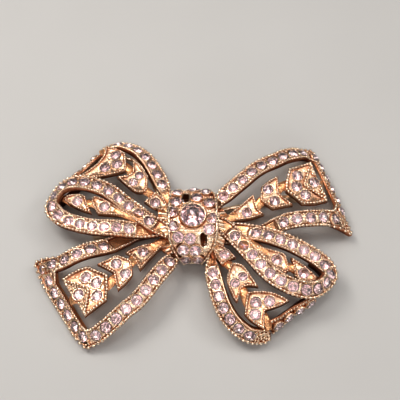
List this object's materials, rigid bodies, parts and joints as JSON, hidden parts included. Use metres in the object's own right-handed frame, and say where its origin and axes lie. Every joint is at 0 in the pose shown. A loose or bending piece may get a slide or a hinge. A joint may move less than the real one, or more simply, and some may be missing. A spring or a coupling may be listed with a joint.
{
  "type": "bow brooch",
  "caption": "Openwork ribbon bow brooch with pierced loops and tails, leaf sprays inside, a domed knot, and pale pink cut stones along every band, pin at the back",
  "frame": {"origin": "on the surface the brooch lies on, under the middle of its outline", "axes": "+X along the bow from the left tail's corner to the right tail's corner, +Y towards the upper loop, +Z out of the bow's face"},
  "size_m": [0.0638, 0.0447, 0.01],
  "materials": {
    "rose_gold": "polished rose-gold plating, warmer and darker in the recesses",
    "pin_metal": "polished",
    "crystal": "foil-backed cut glass, pale lilac pink",
    "centre_crystal": "foil-backed cut glass, pale pink"
  },
  "bodies": {
    "root": {"loop_left": "rose_gold", "loop_right": "rose_gold", "tail_left": "rose_gold", "tail_right": "rose_gold", "knot": "rose_gold", "pin_back": "pin_metal", "centre_stone": "centre_crystal", "loop_left_stones": "crystal", "loop_right_stones": "crystal", "tail_left_stones": "crystal", "tail_right_stones": "crystal", "knot_stones": "crystal"}
  },
  "joints": []
}
